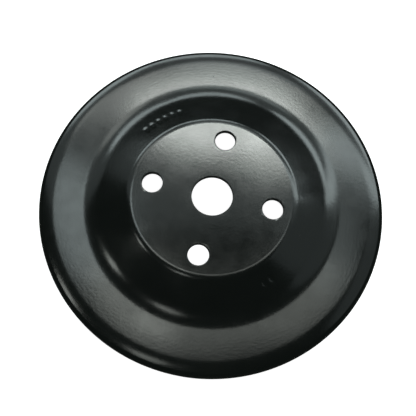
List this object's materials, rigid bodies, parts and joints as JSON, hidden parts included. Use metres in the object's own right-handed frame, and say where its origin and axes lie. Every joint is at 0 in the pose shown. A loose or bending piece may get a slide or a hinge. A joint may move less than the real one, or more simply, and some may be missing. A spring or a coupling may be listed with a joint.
{
  "type": "v belt pulley",
  "caption": "Pressed-steel V-belt pulley: flat hub with a pilot bore and four bolt holes, sloping wall, flat flange, folded rim, and a rear half welded on.",
  "frame": {"origin": "centre of the rear rim's plane, on the pulley's axis", "axes": "+Z along the pulley's axis, out of the front face; +X and +Y through bolt holes"},
  "size_m": [0.1616, 0.1616, 0.0234],
  "materials": {
    "front_paint": "satin-gloss black paint",
    "rear_paint": "satin black paint",
    "weld_paint": "painted weld metal"
  },
  "bodies": {
    "root": {"front_half": "front_paint", "rear_half": "rear_paint", "plug_weld_01": "weld_paint", "plug_weld_02": "weld_paint", "plug_weld_03": "weld_paint", "plug_weld_04": "weld_paint", "plug_weld_05": "weld_paint", "plug_weld_06": "weld_paint", "plug_weld_07": "weld_paint", "plug_weld_08": "weld_paint"}
  },
  "joints": []
}
